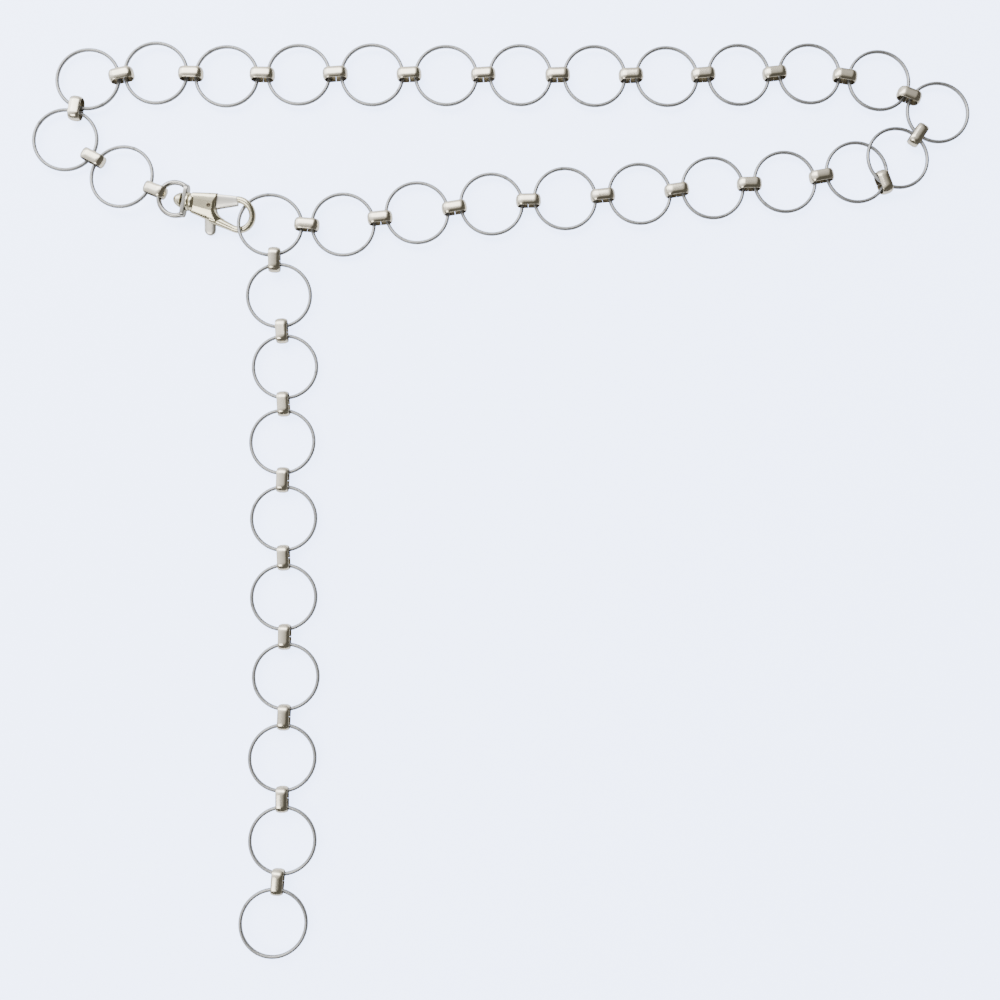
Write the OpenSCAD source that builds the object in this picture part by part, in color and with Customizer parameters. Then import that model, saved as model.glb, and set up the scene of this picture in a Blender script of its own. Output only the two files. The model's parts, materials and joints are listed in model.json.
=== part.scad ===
// Waist chain: round wire rings joined by domed metal bands, closed by a swivel
// trigger clasp that hooks into one ring and lets the rest hang down as a tail.
// The chain lies flat: +X to the right, +Y away from the tail, +Z up.
// The origin is under the middle of the whole chain, on the surface it lies on.

/* [Rings] */
// Outside diameter of each ring
ring_od = 25; // [22:0.5:28]
// Diameter of the rings' round wire
wire_d = 1.4; // [1.2:0.1:1.8]
// How far a ring leans to one side, in degrees
ring_lean = 1.5; // [0:0.5:2]

/* [Bands] */
// Width of the band that joins two rings
band_w = 4.3; // [3.4:0.1:4.5]
// Thickness of the band along its crown
band_t = 0.9; // [0.7:0.05:1.2]
// Thickness of the band along its two edges
edge_t = 0.4; // [0.3:0.05:0.6]
// Farthest that a band lets two wires lie apart, centre to centre
band_reach = 6; // [5.4:0.1:7.5]

/* [Hook] */
// Length of the hook part, from the middle of the swivel to its far end
hook_l = 27.4; // [27:0.2:30]
// Outside width of the hook's round end
bow_w = 13.6; // [13:0.2:14.4]
// Diameter of the hook's round limb
limb_d = 2.6; // [2.2:0.1:2.8]
// How far the middle of the round end lies below the swivel's axis
bow_drop = 1.2; // [0.8:0.1:1.6]
// Width of the body at the swivel
neck_w = 7.7; // [6.5:0.1:8.5]
// Diameter of the round collar between the body and the swivel
collar_d = 7; // [6:0.1:7.6]
// Thickness of the body
body_t = 5; // [4.4:0.1:5.6]
// Where the body's two cheeks end, measured from the middle of the swivel
cheek_end = 12; // [11.5:0.1:12.5]
// Height of the cheeks' upper corner above the swivel's axis
cheek_top = 5.2; // [5:0.1:5.6]

/* [Lever] */
// Distance of the lever's pivot from the middle of the swivel
pivot_along = 9.8; // [9.4:0.1:10]
// Height of the pivot above the swivel's axis
pivot_up = 0.4; // [0:0.1:0.8]
// Diameter of the pivot pin
pin_d = 1.4; // [1:0.1:1.8]
// Thickness of the lever
lever_t = 1.6; // [1.2:0.1:2]
// Width of the lever's bar at its free end
bar_w = 3.4; // [2.6:0.1:3.8]
// Width of the thumb tab
tab_w = 4.4; // [3.6:0.1:5]
// Reach of the thumb tab from the pivot
tab_reach = 11.3; // [10:0.1:11.6]
// How far the lever swings open, in degrees
lever_swing = 22; // [15:1:24]

/* [Swivel] */
// Outside diameter of the swivel eye
eye_od = 14.2; // [13:0.2:15]
// Diameter of the eye's wire
eye_wire_d = 1.9; // [1.6:0.1:2.2]
// Length of the eye's flat bar
boss_w = 12.4; // [11.8:0.1:12.8]
// Thickness of the bar along the swivel's axis
boss_t = 1.7; // [1.4:0.1:2]
// Diameter of the swivel post
post_d = 2.6; // [2:0.1:3]
// Diameter of the post's round head
head_d = 6; // [5:0.1:6.4]

/* [Fits] */
// Space left between pieces that hang in each other
play = 0.1; // [0.05:0.05:0.2]
// Space between the lever and the cheeks, and at the ends of the swivel
side_gap = 0.15; // [0.1:0.05:0.2]
// Radial clearance of the pin and of the swivel post
bore_gap = 0.06; // [0.03:0.01:0.1]

/* [Hidden] */
$fn = 64;

// Steps round the waist, from the ring beside the clasp to the ring that the clasp holds.
// Each row: heading of the step in degrees, pull from 0 with the wires together to 1 taut,
// and how far the band is turned out of line. Negative pull laps two rings.
WAIST = [
    [146.5, 0.30, 6], [72, 0.04, 10], [6, 0.19, 8], [-2, 0.43, 2],
    [2, 0.57, -2], [0.5, 0.71, 5], [0, 0.77, 4], [1, 0.83, 4],
    [0, 0.85, 3], [0.5, 0.70, 3], [2, 0.70, 4], [1.5, 0.63, 6],
    [-5, 0.54, -4], [-29, 0.24, 8], [-131.5, 0.08, 8], [-161, -1.87, 0],
    [-171.5, 0.76, 2], [-174.5, 0.69, -4], [-174.5, 0.76, 4], [-175.5, 0.84, 2],
    [-175, 0.73, -3], [-172.5, 0.80, 3], [-170, 0.77, -3], [-178, 0.48, -6]
];
// Steps down the tail, in the same columns
TAIL = [
    [-82.5, 0.50, -8], [-84.5, 0.48, -2], [-91, 0.75, 5], [-88, 0.82, -4], [-89, 0.90, 2],
    [-87.5, 0.88, -3], [-91.5, 0.96, 0], [-89, 0.96, 0], [-95.5, 0.92, 2]
];
// Number of the step in which two rings lap: the one with a negative pull
LAP = [for (i = [0 : len(WAIST) - 1]) if (WAIST[i][1] < 0) i][0];
// Step from the swivel eye to the first ring, in the same columns
CLASP_STEP = [156.5, 0.75, 0];
// Way that the clasp points
CLASP_HEADING = -11;
// Where the held ring's near wire lies in the hook: along the clasp, and across it
HELD_AT = [21.3, -2.25];
// How far the hook is rolled over on its long side, and the eye the other way
HOOK_ROLL = 21;
EYE_ROLL = 8;
// Where the eye is gripped, in degrees from its far end
GRIP = 14;
// Height, as a share of the hook's lift, that reaches the next joint of the chain
SAG = 0.55;

ring_r = (ring_od - wire_d) / 2;
touch = wire_d + play;

// Band: a flat oval loop. Its inside is high enough for two wires, one on the other
slope_room = 0.7;
inner_h = 2 * wire_d + play + slope_room;
inner_l = band_reach + wire_d + 2 * (play + sagitta_of(ring_r));
loop_h = inner_h + 2 * band_t;
rest_z = loop_h / 2;
// A ring's wire lies this far above the inside of the bands that it rests on
seat_gap = 0.35;
dome_rise = band_t - edge_t;
dome_r = (pow(band_w / 2, 2) + pow(dome_rise, 2)) / (2 * dome_rise);
flat_cut = 0.03;

// Hook, in its own plane: X along the clasp, Y across it
pivot = [pivot_along, pivot_up];
bow_c = [hook_l - bow_w / 2, -bow_drop];
limb_r = (bow_w - limb_d) / 2;
shoulder = boss_t / 2 + side_gap;
collar_l = 2.2;
neck_at = shoulder + collar_l;
heel = [neck_at, -neck_w / 2];
arm_turn = angle(bow_c - heel) - asin(bow_w / 2 / norm(bow_c - heel));
arm_end = bow_c + limb_r * way(arm_turn - 90);
arm_l = 10;
arm_root_r = limb_d / 2 + 0.7;
lap_turn = 3;
groove_r = 0.35;
bar_end = norm([HELD_AT.x + ring_r, HELD_AT.y] - pivot) - ring_r - wire_d / 2 - side_gap - play;
// The bow runs on to this turn and is cut back there to the circle that the lever's bar swings in
tip_turn = 100;
tip_cut_from = bow_c.y + limb_r - limb_d / 2 - 2;
tab_turn = -84;
hub_r = 2.3;
// The bar's upper edge lies this far inside the cheeks' corner, and this far outside the bow
top_inset = 0.45;
bar_proud = 0.1;
slot_gap = 0.25;
// Radius across the body's two domed sides, and of the throat between the cheeks and the arm
crown_r = 20;
throat_r = 4;
throat_up = 0.2;
// The body thins from just past the pivot to the end of its root under the throat
thin_from = pivot.x + 1;
root_end = cheek_end + 2.4;
root_drop = 1.5;
pin_proud = 0.1;
post_sink = 0.5;

// Swivel eye
eye_r = (eye_od - eye_wire_d) / 2;
// The eye's wire stops this far behind the middle of the bar that it is joined to
wire_stop = 0.3;
eye_set_back = 0.5;
eye_back = sqrt(pow(eye_r, 2) - pow(boss_w / 2 - eye_wire_d / 2, 2)) + eye_set_back;
eye_start = acos((eye_back - wire_stop) / eye_r);
boss_h = 4;

// Clasp's axis height: the thumb tab just clears the surface, pressed or not
tab_low = tab_reach - pivot_up;
clasp_z = tab_low * sin(HOOK_ROLL) + lever_t / 2 * cos(HOOK_ROLL) + play;

function way(a) = [cos(a), sin(a)];
function angle(v) = atan2(v.y, v.x);
function unit(v) = v / norm(v);
function flat(p) = [p.x, p.y];
// How far a wire bent to radius r bows within the width of a band
function sagitta_of(r) = r - sqrt(r * r - pow(band_w / 2, 2));
// Point where two circles meet, on the left or the right of the line between them
function meet(c1, r1, c2, r2, side) =
    let (d = norm(c2 - c1), e = (c2 - c1) / d, a = (d * d + r1 * r1 - r2 * r2) / (2 * d))
    c1 + a * e + side * sqrt(r1 * r1 - a * a) * [-e.y, e.x];

// Clasp's place: the held ring's centre is the start of the layout
ahead = way(CLASP_HEADING);
across = way(CLASP_HEADING + 90);
clasp_at = -(HELD_AT.x + ring_r) * ahead - HELD_AT.y * across;
function on_clasp(p, roll) =
    let (a = [ahead.x, ahead.y, 0], b = [across.x * cos(roll), across.y * cos(roll), sin(roll)])
    [clasp_at.x, clasp_at.y, clasp_z] + p.x * a + p.y * b + p.z * cross(a, b);
grip_pt = on_clasp([-eye_back - eye_r * cos(GRIP), eye_r * sin(GRIP), 0], EYE_ROLL);

// Plan of the ring centres: steps added up, with what is left over spread along the loop
function gap_of(step) = touch + step[1] * (band_reach - touch);
function pitch(step) = 2 * ring_r + gap_of(step);
function walk(start, steps) =
    [for (i = 0, p = start; i <= len(steps);
        p = p + (i < len(steps) ? pitch(steps[i]) * way(steps[i][0]) : [0, 0]), i = i + 1) p];
first = flat(grip_pt) + (ring_r + gap_of(CLASP_STEP)) * way(CLASP_STEP[0]);
raw = walk(first, WAIST);
n_waist = len(raw);
left_over = raw[n_waist - 1] / (n_waist - 1);
plan = concat([for (i = [0 : n_waist - 1]) raw[i] - i * left_over],
              [for (i = [1 : len(TAIL)]) walk([0, 0], TAIL)[i]]);
n_rings = len(plan);
steps = concat(WAIST, TAIL);
held = n_waist - 1;

// Rings: centre height and the slope of each ring's plane, as rise per millimetre of X and Y
function along(i) =
    unit((i > 0 ? unit(plan[i] - plan[i - 1]) : -way(CLASP_STEP[0] + 180))
       + (i < n_rings - 1 ? unit(plan[i + 1] - plan[i]) : unit(plan[i] - plan[i - 1])));
// How far a wire can drop from the middle of a band before it meets the band's rounded end
function drop_in(step) =
    let (reach = gap_of(step) / 2 + sagitta_of(ring_r) + band_w / 2 * abs(tan(step[2])),
         past = max(0, reach - (inner_l - inner_h) / 2), free = (inner_h - wire_d) / 2 - 1.5 * play)
    sqrt(max(0, free * free - past * past));
// Height of a ring's wire where it rests in its two bands
function seat_z(i) =
    rest_z - min((inner_h - wire_d) / 2 - seat_gap, drop_in(steps[max(i - 1, 0)]),
                 drop_in(steps[min(i, n_rings - 2)]));
// Plane that leans across the chain
function leaning(i) = [seat_z(i), tan(ring_lean * sin(137 * i)) * [-along(i).y, along(i).x]];
// Plane that rises from low_z on one side to high_z on the side that the heading points to
function rising(heading, low_z, high_z, run) =
    let (s = (high_z - low_z) / run) [low_z + s * ring_r, s * way(heading)];
// Plane through three points, given relative to the ring's centre
function through(a, b, c) =
    let (n = cross(b - a, c - a), s = [-n.x / n.z, -n.y / n.z])
    [a.z - s.x * a.x - s.y * a.y, s];
stack = limb_d / 2 + wire_d / 2 + 3 * play;
held_c = [HELD_AT.x + ring_r, HELD_AT.y];
under_tip = meet(held_c, ring_r, bow_c, limb_r, -1);
over_arm = meet(held_c, ring_r, bow_c, limb_r, 1);
held_plane = through(
    on_clasp([over_arm.x, over_arm.y, stack], HOOK_ROLL),
    on_clasp([under_tip.x, under_tip.y, -stack], HOOK_ROLL),
    [ring_r * way(steps[held - 1][0] + 180).x, ring_r * way(steps[held - 1][0] + 180).y, rest_z]);
held_exit = held_plane[0] + held_plane[1] * (ring_r * unit(plan[held + 1] - plan[held]));
lap_half = norm(plan[LAP + 1] - plan[LAP]) / 2;
lap_spare = 0.02;
lap_rise = (wire_d + play) / 2 + lap_spare;
lap_run = ring_r + lap_half;
function plane_of(i) =
    let (eye_side = rest_z + SAG * (grip_pt.z - rest_z), held_side = rest_z + SAG * (held_exit - rest_z))
    i == 0 ? rising(angle(flat(grip_pt) - first), seat_z(i), eye_side, 2 * ring_r)
    : i == held ? held_plane
    : i == held + 1 ? rising(angle(plan[held] - plan[i]), seat_z(i), held_side, 2 * ring_r)
    : i == LAP ? rising(angle(plan[LAP + 1] - plan[LAP]), rest_z, rest_z + lap_rise, lap_run)
    : i == LAP + 1 ? rising(angle(plan[LAP] - plan[LAP + 1]), seat_z(i), rest_z - lap_rise, lap_run)
    : leaning(i);
planes = [for (i = [0 : n_rings - 1]) plane_of(i)];
function centre(i) = [plan[i].x, plan[i].y, planes[i][0]];
function normal(i) = unit([-planes[i][1].x, -planes[i][1].y, 1]);
// Point of a ring's wire in a given plan direction
function wire_pt(i, d) =
    let (v = [d.x, d.y, planes[i][1] * d]) centre(i) + ring_r * unit(v - (v * normal(i)) * normal(i));

// Middle of the whole chain in plan, from the rings' own extents
function reach_of(i, k) = ring_r * sqrt(1 - pow(normal(i)[k], 2)) + wire_d / 2;
lows = [for (k = [0, 1]) min([for (i = [0 : n_rings - 1]) plan[i][k] - reach_of(i, k)])];
highs = [for (k = [0, 1]) max([for (i = [0 : n_rings - 1]) plan[i][k] + reach_of(i, k)])];
middle = (lows + highs) / 2;

two_digits = "0123456789";
function ring_name(i) = str("ring_", two_digits[floor((i + 1) / 10)], two_digits[(i + 1) % 10]);

// Sets its children at c, with their X along x and their Z as near to up as it can be
module put(c, x, up) {
    ux = unit(x);
    uz = unit(up - (up * ux) * ux);
    uy = cross(uz, ux);
    multmatrix([[ux.x, uy.x, uz.x, c.x - middle.x],
                [ux.y, uy.y, uz.y, c.y - middle.y],
                [ux.z, uy.z, uz.z, c.z],
                [0, 0, 0, 1]]) children();
}
module put_on_clasp(roll) {
    o = on_clasp([0, 0, 0], roll);
    put(o, on_clasp([1, 0, 0], roll) - o, on_clasp([0, 0, 1], roll) - o) children();
}

// One ring of round wire
module ring(i) {
    color("silver") put(centre(i), wire_pt(i, [1, 0]) - centre(i), normal(i))
        rotate_extrude() translate([ring_r, 0]) circle(d = wire_d, $fn = 24);
}

// Section of the band: flat inside at X = 0, domed outside, with a narrow flat along the crown
module band_section() {
    intersection() {
        translate([0, -band_w / 2]) square([band_t, band_w]);
        translate([band_t + flat_cut - dome_r, 0]) circle(r = dome_r, $fn = 128);
    }
}
// One band: the section carried round a flat oval, standing on its lower straight
module band() {
    straight = inner_l - inner_h;
    rotate([90, 0, 0]) for (s = [0, 180]) rotate([0, 0, s]) {
        translate([-straight / 2, inner_h / 2, 0])
            rotate([90, 0, 90]) linear_extrude(straight) band_section();
        translate([straight / 2, 0, 0])
            rotate_extrude(angle = 180, start = -90) translate([inner_h / 2, 0]) band_section();
    }
}
// Band between two wire points, level on the surface unless one of them is lifted
module band_at(a, b, up, turn) {
    settled = 0.3;
    lifted = max(a.z, b.z) > rest_z + settled;
    mid = (a + b) / 2;
    c = lifted ? mid : [mid.x, mid.y, rest_z];
    x = lifted ? b - a : [b.x - a.x, b.y - a.y, 0];
    color("tan") put(c, x, lifted ? up : [0, 0, 1]) rotate([0, 0, turn]) band();
}
// Band across the place where two rings lap, with both wires inside it
module lap_band() {
    d = unit(plan[LAP + 1] - plan[LAP]);
    side = [-d.y, d.x];
    // Where a wire leaves the band's two edges, and how much longer its slanting cut is there
    function exit(x) = sqrt(pow(ring_r, 2) - pow(lap_half + x, 2));
    function slant(x) = wire_d / 2 * ring_r / exit(x);
    e = band_w / 2;
    inward = 0.14;
    c = (plan[LAP] + plan[LAP + 1]) / 2 + ((exit(e) - slant(e) + exit(-e) + slant(-e)) / 2 - inward) * side;
    color("tan") put([c.x, c.y, rest_z], [side.x, side.y, 0], [0, 0, 1]) band();
}
module link_band(i) {
    d = unit(plan[i + 1] - plan[i]);
    if (i == LAP) lap_band();
    else band_at(wire_pt(i, d), wire_pt(i + 1, -d), normal(i) + normal(i + 1), steps[i][2]);
}
module waist_bands() { for (i = [0 : held - 1]) link_band(i); }
module tail_bands() { for (i = [held : n_rings - 2]) link_band(i); }
module clasp_band() {
    eye_up = on_clasp([0, 0, 1], EYE_ROLL) - on_clasp([0, 0, 0], EYE_ROLL);
    a = wire_pt(0, unit(flat(grip_pt) - plan[0]));
    // The eye's thicker and tighter bend needs more of the band's length
    more = (eye_wire_d - wire_d) / 2 + sagitta_of(eye_r) - sagitta_of(ring_r) + play;
    band_at(a, grip_pt + more * unit(grip_pt - a), normal(0) + eye_up, CLASP_STEP[2]);
}

// Round loop with a flat boss, bored for the swivel post
module swivel_eye() {
    color("lightgray") put_on_clasp(EYE_ROLL) difference() {
        union() {
            translate([-eye_back, 0, 0])
                rotate_extrude(angle = 360 - 2 * eye_start, start = eye_start)
                    translate([eye_r, 0]) circle(d = eye_wire_d, $fn = 24);
            translate([-boss_t / 2, 0, 0]) rotate([90, 0, 90]) linear_extrude(boss_t) boss_outline();
        }
        translate([-boss_t, 0, 0]) rotate([0, 90, 0]) cylinder(r = post_d / 2 + bore_gap, h = 2 * boss_t);
    }
}
module boss_outline() {
    square([boss_w - boss_h, boss_h], center = true);
    for (s = [-1, 1]) translate([s * (boss_w - boss_h) / 2, 0]) circle(d = boss_h);
}

// Lever in its own plane, about its pivot, grown all round by g
module lever_outline(g) {
    top_back = [1, cheek_top - pivot_up - top_inset];
    bar_top = bow_c.y + bow_w / 2 + bar_proud - pivot_up;
    intersection() {
        union() {
            circle(r = hub_r + g);
            polygon([[hub_r / 2, -hub_r * 0.8 - g], [bar_end + 1, bar_top - bar_w - g],
                     [bar_end + 1, bar_top + g], top_back + [-g, g], [-hub_r / 2, hub_r * 0.8 + g]]);
            rotate(tab_turn) {
                translate([0, -tab_w / 2 - g]) square([tab_reach - tab_w / 2, tab_w + 2 * g]);
                translate([tab_reach - tab_w / 2, 0]) circle(r = tab_w / 2 + g);
            }
        }
        circle(r = bar_end + g, $fn = 128);
    }
}
module trigger_lever() {
    color("gainsboro") put_on_clasp(HOOK_ROLL) translate([pivot.x, pivot.y, -lever_t / 2])
        difference() {
            linear_extrude(lever_t) lever_outline(0);
            translate([0, 0, -1]) cylinder(r = pin_d / 2 + bore_gap, h = lever_t + 2);
        }
}

// Outline of the body from the side that shows the pivot pin
module body_outline() {
    under = arm_end + (limb_d / 2) * way(arm_turn - 90);
    difference() {
        polygon([heel, under - (under.x - root_end) / cos(arm_turn) * way(arm_turn),
                 [root_end, bow_c.y - root_drop], [cheek_end, 0], [cheek_end, cheek_top], [neck_at, neck_w / 2]]);
        translate([cheek_end + throat_r, throat_up]) circle(r = throat_r);
    }
}
module body() {
    intersection() {
        translate([0, 0, -body_t / 2]) linear_extrude(body_t) body_outline();
        intersection_for(s = [-1, 1]) translate([0, 0, s * (body_t / 2 - crown_r)])
            rotate([0, 90, 0]) cylinder(r = crown_r, h = hook_l, $fn = 128);
        rotate([90, 0, 0]) linear_extrude(4 * neck_w, center = true)
            polygon([[0, -body_t / 2], [thin_from, -body_t / 2], [root_end, -limb_d / 2],
                     [root_end, limb_d / 2], [thin_from, body_t / 2], [0, body_t / 2]]);
    }
}
// Round arm that widens into the body, and the bow that it runs into
module limb() {
    translate([arm_end.x, arm_end.y, 0]) rotate([0, 0, arm_turn]) rotate([0, -90, 0])
        cylinder(r1 = limb_d / 2, r2 = arm_root_r, h = arm_l);
    difference() {
        translate([bow_c.x, bow_c.y, 0])
            rotate_extrude(angle = tip_turn + 90 - arm_turn + lap_turn, start = arm_turn - 90 - lap_turn)
                translate([limb_r, 0]) circle(d = limb_d, $fn = 24);
        intersection() {
            translate([pivot.x, pivot.y, -limb_d]) cylinder(r = bar_end + side_gap, h = 2 * limb_d, $fn = 128);
            translate([0, tip_cut_from, -limb_d]) cube([2 * hook_l, bow_w, 2 * limb_d]);
        }
    }
}
// Round collar with a groove, between the body and the swivel
module collar() {
    translate([shoulder, 0, 0]) rotate([0, 90, 0]) rotate_extrude() difference() {
        square([collar_d / 2, collar_l]);
        translate([collar_d / 2, collar_l / 2]) circle(r = groove_r);
    }
}
// Swivel post with a round head, behind the eye's boss
module post() {
    translate([-shoulder - post_sink, 0, 0]) rotate([0, 90, 0]) cylinder(d = post_d, h = 2 * (shoulder + post_sink));
    intersection() {
        translate([-shoulder - post_sink, 0, 0]) sphere(d = head_d);
        translate([-shoulder - head_d, -head_d, -head_d]) cube([head_d, 2 * head_d, 2 * head_d]);
    }
}
module hook() {
    color("darkkhaki") put_on_clasp(HOOK_ROLL) {
        difference() {
            union() { body(); limb(); collar(); }
            translate([pivot.x, pivot.y, -lever_t / 2 - side_gap])
                linear_extrude(lever_t + 2 * side_gap)
                    for (a = [0, 0.5, 1]) rotate(-a * lever_swing) lever_outline(slot_gap);
            translate([pivot.x, pivot.y, -body_t]) cylinder(d = pin_d, h = 2 * body_t);
        }
        post();
    }
}
module pivot_pin() {
    color("dimgray") put_on_clasp(HOOK_ROLL)
        translate([pivot.x, pivot.y, 0]) cylinder(d = pin_d, h = body_t + 2 * pin_proud, center = true);
}

for (i = [0 : n_rings - 1]) ring(i);
waist_bands();
tail_bands();
clasp_band();
swivel_eye();
hook();
trigger_lever();
pivot_pin();
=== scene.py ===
import json
import math

import bpy
import numpy as np
from mathutils import Matrix


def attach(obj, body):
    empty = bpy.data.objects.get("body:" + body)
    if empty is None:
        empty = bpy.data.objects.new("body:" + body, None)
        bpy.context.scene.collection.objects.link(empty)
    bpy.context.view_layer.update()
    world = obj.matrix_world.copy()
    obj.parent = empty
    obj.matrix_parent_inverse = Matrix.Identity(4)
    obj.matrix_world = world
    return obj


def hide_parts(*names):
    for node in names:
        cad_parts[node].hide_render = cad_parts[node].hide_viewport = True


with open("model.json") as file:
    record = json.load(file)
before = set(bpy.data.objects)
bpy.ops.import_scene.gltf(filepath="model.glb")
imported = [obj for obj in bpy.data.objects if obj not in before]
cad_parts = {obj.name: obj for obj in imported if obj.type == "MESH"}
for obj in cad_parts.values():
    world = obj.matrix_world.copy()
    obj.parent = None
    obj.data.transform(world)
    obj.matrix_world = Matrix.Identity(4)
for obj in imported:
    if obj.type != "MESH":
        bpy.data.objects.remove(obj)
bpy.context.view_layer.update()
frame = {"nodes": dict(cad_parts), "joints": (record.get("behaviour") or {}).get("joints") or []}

mm = 0.001
print("frame loaded:", len(frame["nodes"]), "nodes")


def unit(v):
    return v / np.linalg.norm(v, axis=-1, keepdims=True)


# All triangles of a node as an array of corners, triangle by triangle.
def nodeTriangles(name):
    mesh = frame["nodes"][name].data
    mesh.calc_loop_triangles()
    points = np.empty(len(mesh.vertices) * 3)
    mesh.vertices.foreach_get("co", points)
    corners = np.empty(len(mesh.loop_triangles) * 3, dtype=int)
    mesh.loop_triangles.foreach_get("vertices", corners)
    return points.reshape(-1, 3)[corners].reshape(-1, 3, 3)


# Middle, axes and half lengths of a solid: the axes are those of its second moments, added up over the
# tetrahedra from one point to each triangle, and run from the longest direction to the shortest.
def solidAxes(tris):
    start = tris.reshape(-1, 3).mean(0)
    t = tris - start
    volume = np.einsum("ij,ij->i", t[:, 0], np.cross(t[:, 1], t[:, 2])) / 6
    total = t.sum(1)
    centroid = (volume[:, None] * total).sum(0) / 4 / volume.sum()
    moments = np.einsum("n,nki,nkj->ij", volume, t, t) + np.einsum("n,ni,nj->ij", volume, total, total)
    moments = moments / 20 / volume.sum() - np.outer(centroid, centroid)
    axes = np.linalg.eigh(moments)[1].T[::-1]
    reach = (tris.reshape(-1, 3) - start) @ axes.T
    low, high = reach.min(0), reach.max(0)
    return start + ((low + high) / 2) @ axes, axes, (high - low) / 2


# A grid whose columns close round a section. Point (i, j) makes a quad with (i+1, j), (i+1, j+1) and
# (i, j+1). The rows close into a loop, or each end is closed by a fan to the middle of its last row.
# The UV map holds metres along the rows' middles and metres round the section.
def skin(points, loop=False, **marks):
    rows, cols = points.shape[:2]
    verts = points.reshape(-1, 3)
    i = np.arange(rows if loop else rows - 1)[:, None]
    j = np.arange(cols)[None, :]
    nextRow, nextCol = (i + 1) % rows, (j + 1) % cols
    quads = np.stack([i * cols + j, nextRow * cols + j, nextRow * cols + nextCol, i * cols + nextCol], -1)
    middles = points.mean(1)
    stretch = np.linalg.norm(np.roll(middles, -1, 0) - middles, axis=1)
    along = np.concatenate([[0], np.cumsum(stretch)])
    widest = points[rows // 2]
    girth = np.concatenate([[0], np.cumsum(np.linalg.norm(np.roll(widest, -1, 0) - widest, axis=1))])
    uvI = np.stack([i, i + 1, i + 1, i], -1) + 0 * quads
    uvJ = np.stack([j, j, j + 1, j + 1], -1) + 0 * quads
    quadUv = np.stack([along[uvI], girth[uvJ]], -1).reshape(-1, 4, 2)
    quads = quads.reshape(-1, 4)
    fans = np.empty((0, 3), dtype=int)
    fanUv = np.empty((0, 3, 2))
    marks = {k: np.broadcast_to(v, (rows, cols)).reshape(-1) for k, v in marks.items()}
    if not loop:
        first, last = len(verts), len(verts) + 1
        verts = np.vstack([verts, middles[0], middles[-1]])
        c = np.arange(cols)
        n = (c + 1) % cols
        end = (rows - 1) * cols
        fans = np.vstack([np.stack([c, n, 0 * c + first], -1),
                          np.stack([end + n, end + c, 0 * c + last], -1)])
        u = np.repeat([along[0], along[rows - 1]], cols)
        v = np.concatenate([girth[c], girth[c + 1]])
        fanUv = np.stack([np.stack([u, v], -1)] * 3, 1)
        marks = {k: np.append(v, [v[0], v[-1]]) for k, v in marks.items()}
    inward = signedVolume(verts, quads, fans) < 0
    if inward:
        quads, quadUv = quads[:, ::-1], quadUv[:, ::-1]
        fans, fanUv = fans[:, ::-1], fanUv[:, ::-1]
    return {"verts": verts, "quads": quads, "fans": fans, "quadUv": quadUv, "fanUv": fanUv, "marks": marks}


def signedVolume(verts, quads, fans):
    tris = np.vstack([quads[:, [0, 1, 2]], quads[:, [0, 2, 3]], fans])
    a, b, c = verts[tris[:, 0]], verts[tris[:, 1]], verts[tris[:, 2]]
    return np.einsum("ij,ij->i", a - verts[0], np.cross(b - verts[0], c - verts[0])).sum()


# One object from several skins, with its UV map and its painted marks
def makePiece(name, skins):
    starts = np.cumsum([0] + [len(s["verts"]) for s in skins])
    verts = np.vstack([s["verts"] for s in skins])
    quads = np.vstack([s["quads"] + k for s, k in zip(skins, starts)])
    fans = np.vstack([s["fans"] + k for s, k in zip(skins, starts)])
    mesh = bpy.data.meshes.new(name)
    mesh.from_pydata(verts.tolist(), [], quads.tolist() + fans.tolist())
    uv = np.vstack([s["quadUv"].reshape(-1, 2) for s in skins] + [s["fanUv"].reshape(-1, 2) for s in skins])
    mesh.uv_layers.new(name="lengths").data.foreach_set("uv", uv.astype(np.float32).ravel())
    for mark in skins[0]["marks"]:
        values = np.concatenate([s["marks"][mark] for s in skins]).astype(np.float32)
        mesh.attributes.new(mark, "FLOAT", "POINT").data.foreach_set("value", values)
    mesh.polygons.foreach_set("use_smooth", np.ones(len(mesh.polygons), dtype=bool))
    mesh.update()
    piece = bpy.data.objects.new(name, mesh)
    bpy.context.scene.collection.objects.link(piece)
    return piece


def dress(piece, body, slot, material, *nodes):
    piece.data.materials.clear()
    piece.data.materials.append(material)
    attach(piece, body)
    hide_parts(*nodes)
    return piece


# Runs a piece's modifiers into its mesh
def applyModifiers(piece):
    graph = bpy.context.evaluated_depsgraph_get()
    mesh = bpy.data.meshes.new_from_object(piece.evaluated_get(graph))
    old = piece.data
    piece.modifiers.clear()
    piece.data = mesh
    bpy.data.meshes.remove(old)
    mesh.name = piece.name
    mesh.polygons.foreach_set("use_smooth", np.ones(len(mesh.polygons), dtype=bool))


# One skin round all the shells of a casting, then softened as plating softens it, then cut
def fuse(piece, settings, cutters=()):
    oneSkin = piece.modifiers.new("oneSkin", "REMESH")
    oneSkin.mode = "VOXEL"
    oneSkin.voxel_size = settings["voxel"] * mm
    soft = piece.modifiers.new("plated", "SMOOTH")
    soft.factor, soft.iterations = settings["softFactor"], settings["softRounds"]
    for cutter in cutters:
        cut = piece.modifiers.new("cut", "BOOLEAN")
        cut.operation = "DIFFERENCE"
        cut.solver = "MANIFOLD"
        cut.object = cutter
    applyModifiers(piece)
    for cutter in cutters:
        bpy.data.objects.remove(cutter)


# Rounded square wave: cosine and sine raised to a power below 1, with their signs kept
def superCurve(count, power, phase=0.0):
    t = np.linspace(0, 2 * np.pi, count, endpoint=False) + phase
    c, s = np.cos(t), np.sin(t)
    return np.sign(c) * abs(c) ** power, np.sign(s) * abs(s) ** power


def newNode(tree, kind, **values):
    node = tree.nodes.new("ShaderNode" + kind)
    for key, value in values.items():
        setattr(node, key, value)
    return node


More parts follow.
